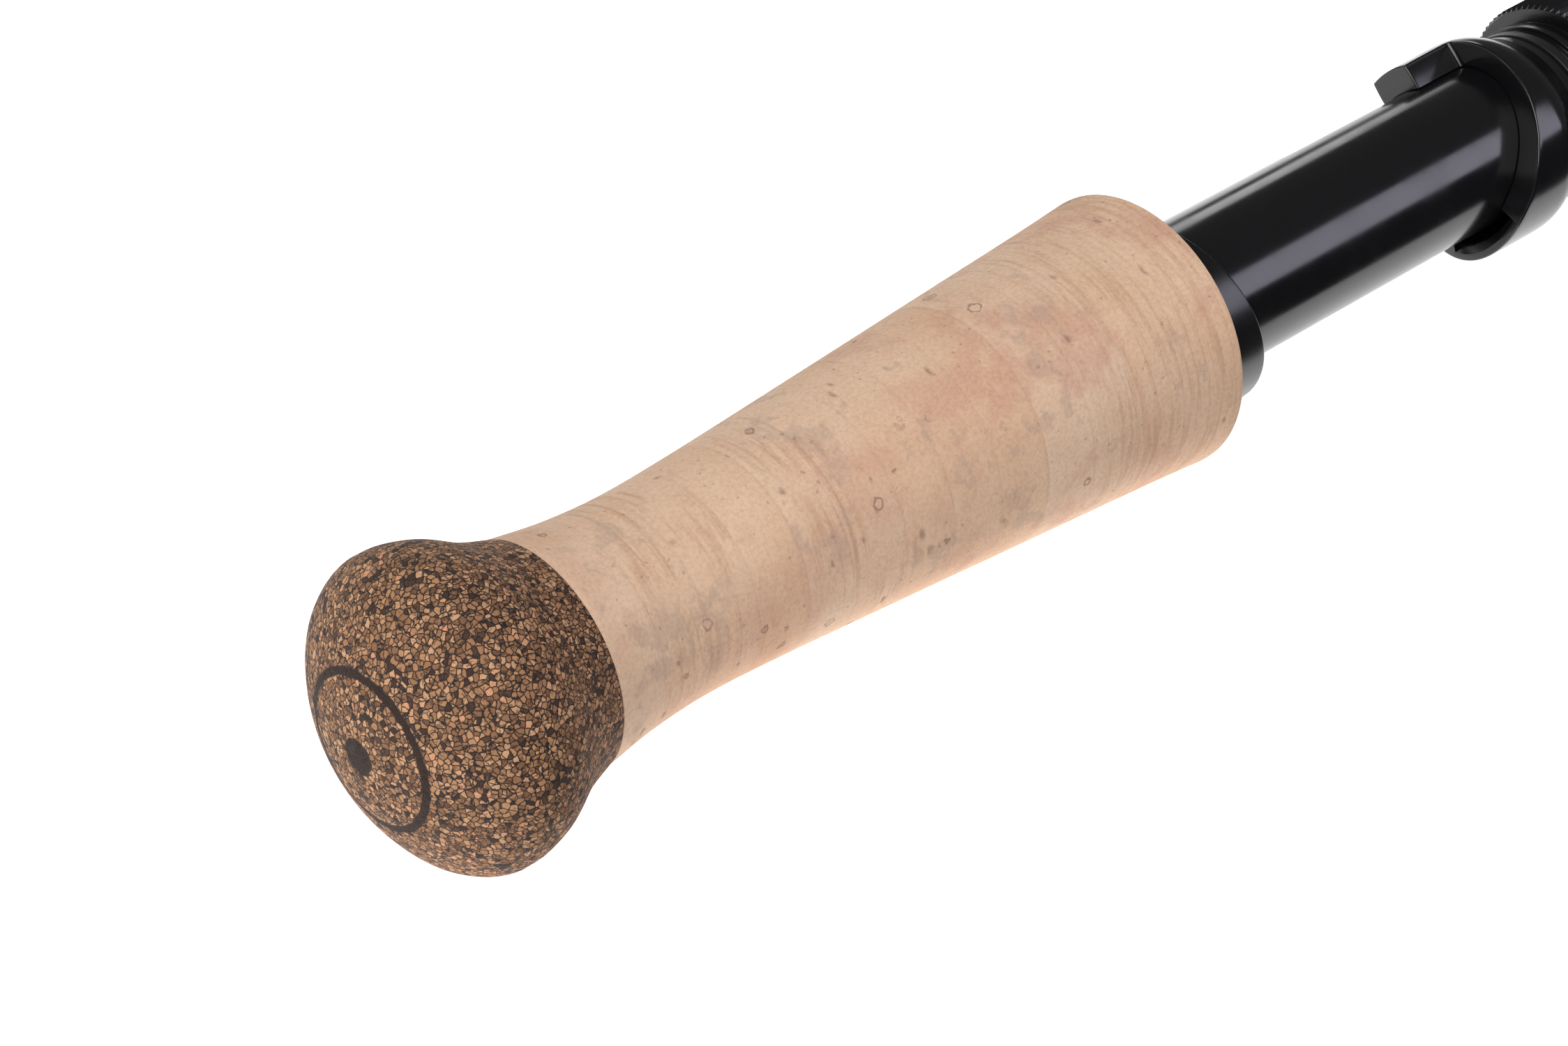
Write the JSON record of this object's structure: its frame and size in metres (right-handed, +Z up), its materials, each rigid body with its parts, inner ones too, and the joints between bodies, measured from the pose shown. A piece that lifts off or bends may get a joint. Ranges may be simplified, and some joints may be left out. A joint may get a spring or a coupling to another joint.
{
  "type": "two-handed fly rod handle section",
  "caption": "Butt section of a two-handed fly rod: composite knob, cork grips, black screw-locking reel seat, blank with male ferrule.",
  "frame": {"origin": "under the middle of the section's length, level with the lowest point of the butt knob", "axes": "+X along the rod from the butt knob to the male ferrule, +Z up; the reel side faces -Y and 45 degrees down"},
  "size_m": [0.545, 0.034, 0.034],
  "materials": {
    "composite_cork": "burnt composite cork, fine dark and tan granules, matt",
    "cork": "natural cork rings, sanded, with small pits",
    "black_metal": "gloss black anodised",
    "blank": "lacquered carbon fibre, near black",
    "nylon": "black acetal",
    "rubber": "black rubber",
    "arbor_foam": "dense grey foam",
    "thread_wrap": "black thread under clear epoxy",
    "steel_wire": "polished stainless wire"
  },
  "bodies": {
    "rod": {"blank": "blank", "butt_knob": "composite_cork", "check_wrap": "thread_wrap", "composite_end_ring": "composite_cork", "cork_ring_01": "cork", "cork_ring_02": "cork", "cork_ring_03": "cork", "cork_ring_04": "cork", "cork_ring_05": "cork", "cork_ring_06": "cork", "cork_ring_07": "cork", "cork_ring_08": "cork", "cork_ring_09": "cork", "cork_ring_10": "cork", "cork_ring_11": "cork", "cork_ring_12": "cork", "cork_ring_front": "cork", "fixed_hood": "black_metal", "front_arbor": "arbor_foam", "front_foot_wrap": "thread_wrap", "hook_keeper": "steel_wire", "middle_arbor": "arbor_foam", "rear_arbor": "arbor_foam", "rear_foot_wrap": "thread_wrap", "seat_barrel": "black_metal", "trim_ring": "black_metal", "upper_cork_ring_01": "cork", "upper_cork_ring_02": "cork", "upper_cork_ring_03": "cork", "upper_cork_ring_04": "cork", "upper_cork_ring_05": "cork", "upper_cork_ring_06": "cork", "upper_cork_ring_07": "cork", "upper_cork_ring_08": "cork", "upper_cork_ring_09": "cork", "upper_cork_ring_10": "cork", "upper_cork_ring_11": "cork", "upper_cork_ring_12": "cork", "upper_cork_ring_13": "cork", "upper_cork_ring_14": "cork", "winding_check": "black_metal"},
    "hood": {"sliding_hood": "black_metal", "hood_washer": "nylon", "nut_seal": "rubber"},
    "lock_nut": {"lock_nut": "black_metal"},
    "jam_nut": {"jam_nut": "black_metal"}
  },
  "joints": [
    {"name": "lock_nut_turn", "type": "hinge", "parent": "hood", "child": "lock_nut", "pos_m": [-0.09105, 0, 0.017], "axis": [1, 0, 0], "range_deg": [-2160, 2160]},
    {"name": "jam_nut_turn", "type": "hinge", "parent": "hood", "child": "jam_nut", "pos_m": [-0.0802, 0, 0.017], "axis": [1, 0, 0], "range_deg": [-2165, 2165]},
    {"name": "hood_slide", "type": "slide", "parent": "rod", "child": "hood", "axis": [1, 0, 0], "range_m": [-0.00905, 0.00905]}
  ],
  "couplings": [
    {"joint": "hood_slide", "follows": "lock_nut_turn", "m_per_rad": 0.00023873},
    {"joint": "jam_nut_turn", "follows": "lock_nut_turn", "ratio": 1}
  ]
}
